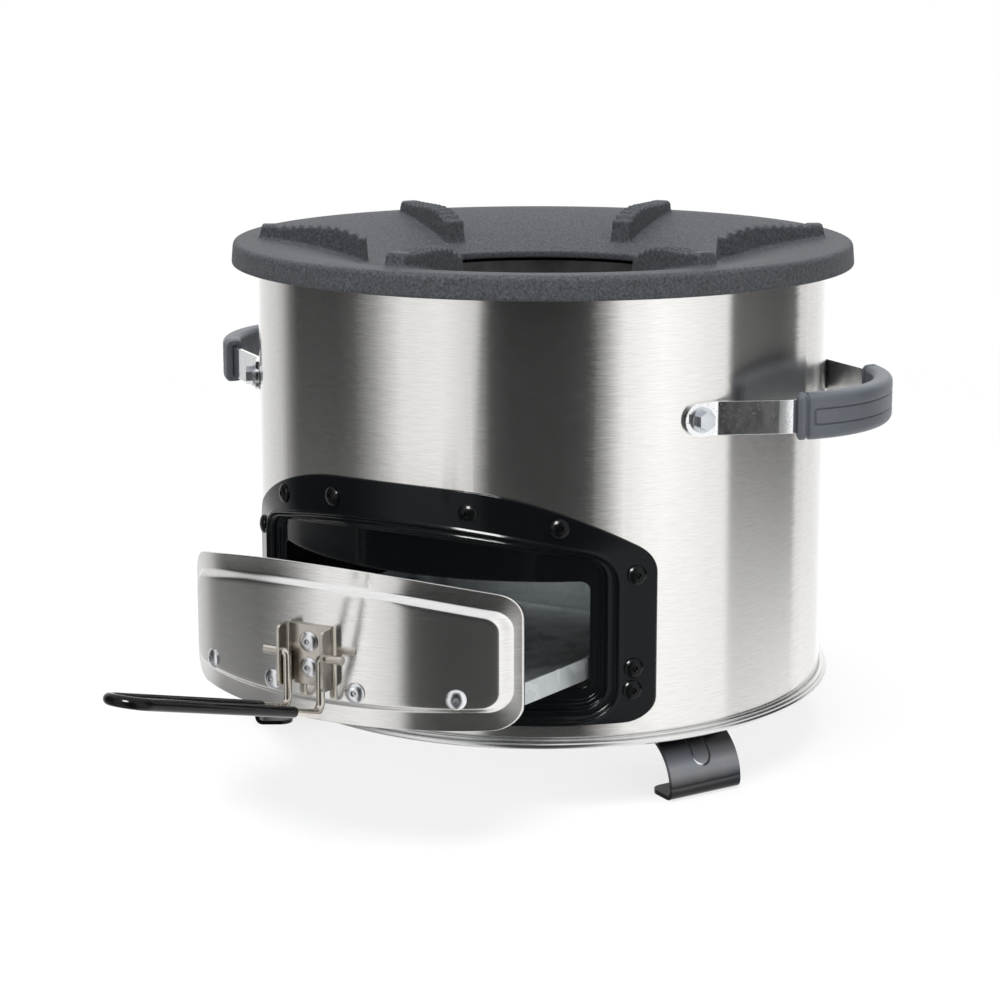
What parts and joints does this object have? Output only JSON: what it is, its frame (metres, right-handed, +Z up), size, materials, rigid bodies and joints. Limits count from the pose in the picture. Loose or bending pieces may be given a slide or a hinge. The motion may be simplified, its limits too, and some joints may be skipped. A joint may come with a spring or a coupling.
{
  "type": "cookstove",
  "caption": "Round solid-fuel cookstove: stainless drum, cast iron top with pot supports, pull-out ash drawer in an enamelled frame, side handles, sprung feet.",
  "frame": {"origin": "on the drum's axis, at the ground that the three feet stand on, centre of the circle of foot holes", "axes": "+Z up, -Y towards the ash drawer's front, +X towards the right-hand handle as seen from the drawer side"},
  "size_m": [0.3708, 0.5118, 0.2592],
  "materials": {
    "stainless": "brushed",
    "cast_black": "sand cast",
    "enamel": "gloss black enamel",
    "chrome": "polished",
    "grip": "satin moulded",
    "foot_steel": "blued spring steel",
    "galvanised": "spangled zinc",
    "rivet_metal": "plain",
    "rivet_black": "gloss black",
    "nickel": "nickel plated",
    "vinyl": "gloss",
    "zinc": "zinc plated",
    "insulation": "mineral wool",
    "liner_steel": "plain",
    "grate_iron": "sand cast"
  },
  "bodies": {
    "stove": {"outer_shell": "stainless", "base_pan": "stainless", "cast_top": "cast_black", "top_ring": "galvanised", "combustion_liner": "liner_steel", "charcoal_grate": "grate_iron", "heat_shield": "galvanised", "insulation_ring": "insulation", "door_frame": "enamel", "door_frame_rivets": "rivet_black", "handle_strap_right": "chrome", "handle_strap_left": "chrome", "handle_grip_right": "grip", "handle_grip_left": "grip", "drawer_runner_right": "galvanised", "drawer_runner_left": "galvanised", "handle_bolts": "zinc", "handle_washers": "zinc", "handle_nuts": "zinc", "foot_front_right": "foot_steel", "foot_front_left": "foot_steel", "foot_rear": "foot_steel", "foot_rivets": "zinc", "runner_rivets": "zinc"},
    "drawer": {"drawer_front": "stainless", "ash_tray": "galvanised", "drawer_front_rivets": "rivet_metal", "pull_bracket": "nickel", "pull_bracket_rivets": "rivet_metal"},
    "pull": {"pull_wire": "nickel", "pull_sleeve": "vinyl"}
  },
  "joints": [
    {"name": "drawer_slide", "type": "slide", "parent": "stove", "child": "drawer", "axis": [0, -1, 0], "range_m": [-0.07, 0.1]},
    {"name": "pull_hinge", "type": "hinge", "parent": "drawer", "child": "pull", "pos_m": [0, -0.2223, 0.0893], "axis": [-1, 0, 0], "range_deg": [-9, 80]}
  ]
}
